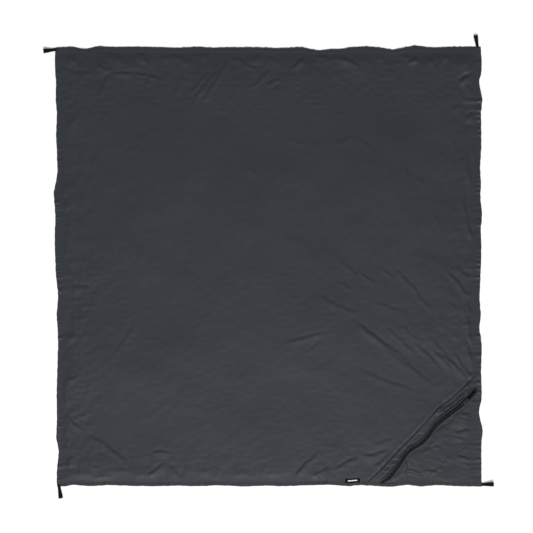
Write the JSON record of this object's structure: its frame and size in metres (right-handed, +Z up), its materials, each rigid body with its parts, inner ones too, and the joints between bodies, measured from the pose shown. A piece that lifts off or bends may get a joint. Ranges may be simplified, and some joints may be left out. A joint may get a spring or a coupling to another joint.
{
  "type": "camp quilt",
  "caption": "Thin square camp quilt lying flat, bound edges, webbing peg loops at the corners and a zipped triangular stow pocket.",
  "frame": {"origin": "middle of the quilt's underside, on the ground", "axes": "+Z up from the ground, +X along the bottom edge towards the pocket, +Y along the side edges away from the pocket"},
  "size_m": [1.4756, 1.5145, 0.0103],
  "materials": {
    "shell_cloth": "matte",
    "backing_cloth": "matte",
    "filling": "matte",
    "binding_cloth": "matte",
    "pocket_cloth": "matte",
    "thread": "matte",
    "webbing": "matte",
    "zip_tape": "matte",
    "zip_coil": "satin",
    "slider_metal": "satin",
    "label": "matte"
  },
  "bodies": {
    "quilt": {"face_sheet": "shell_cloth", "fill_sheet": "filling", "backing_sheet": "backing_cloth", "edge_binding_top": "binding_cloth", "edge_binding_right": "binding_cloth", "edge_binding_bottom": "binding_cloth", "edge_binding_left": "binding_cloth", "hem_stitching_outer": "thread", "hem_stitching_inner": "thread", "loop_bar_tacks": "thread", "pocket_placket": "pocket_cloth", "pocket_panel": "pocket_cloth", "pocket_seam_stitching": "thread", "zip_tape_upper": "zip_tape", "zip_tape_lower": "zip_tape", "zip_coil_upper": "zip_coil", "zip_coil_lower": "zip_coil", "zip_stitching_upper": "thread", "zip_stitching_lower": "thread", "woven_label": "label", "label_stitching": "thread"},
    "slider": {"slider_body": "slider_metal", "slider_crown": "slider_metal"},
    "pull": {"pull_tab": "slider_metal", "puller_ribbon": "webbing"},
    "peg_loop_top_left": {"peg_loop_top_left": "webbing"},
    "peg_loop_top_right": {"peg_loop_top_right": "webbing"},
    "peg_loop_bottom_right": {"peg_loop_bottom_right": "webbing"},
    "peg_loop_bottom_left": {"peg_loop_bottom_left": "webbing"}
  },
  "joints": [
    {"name": "zip_slide", "type": "slide", "parent": "quilt", "child": "slider", "axis": [0.7071, 0.7071, 0], "range_m": [-0.352, 0.036]},
    {"name": "pull_tab_hinge", "type": "hinge", "parent": "slider", "child": "pull", "pos_m": [0.64138, -0.44254, 0.00895], "axis": [0.7071, -0.7071, 0], "range_deg": [0, 180]},
    {"name": "loop_fold_top_left", "type": "hinge", "parent": "quilt", "child": "peg_loop_top_left", "pos_m": [-0.7016, 0.713, 0.00095], "axis": [0, 1, 0], "range_deg": [0, 100]},
    {"name": "loop_fold_top_right", "type": "hinge", "parent": "quilt", "child": "peg_loop_top_right", "pos_m": [0.6875, 0.7216, 0.00095], "axis": [1, 0, 0], "range_deg": [0, 100]},
    {"name": "loop_fold_bottom_right", "type": "hinge", "parent": "quilt", "child": "peg_loop_bottom_right", "pos_m": [0.7016, -0.713, 0.00095], "axis": [0, -1, 0], "range_deg": [0, 100]},
    {"name": "loop_fold_bottom_left", "type": "hinge", "parent": "quilt", "child": "peg_loop_bottom_left", "pos_m": [-0.692, -0.7216, 0.00095], "axis": [-1, 0, 0], "range_deg": [0, 100]}
  ]
}
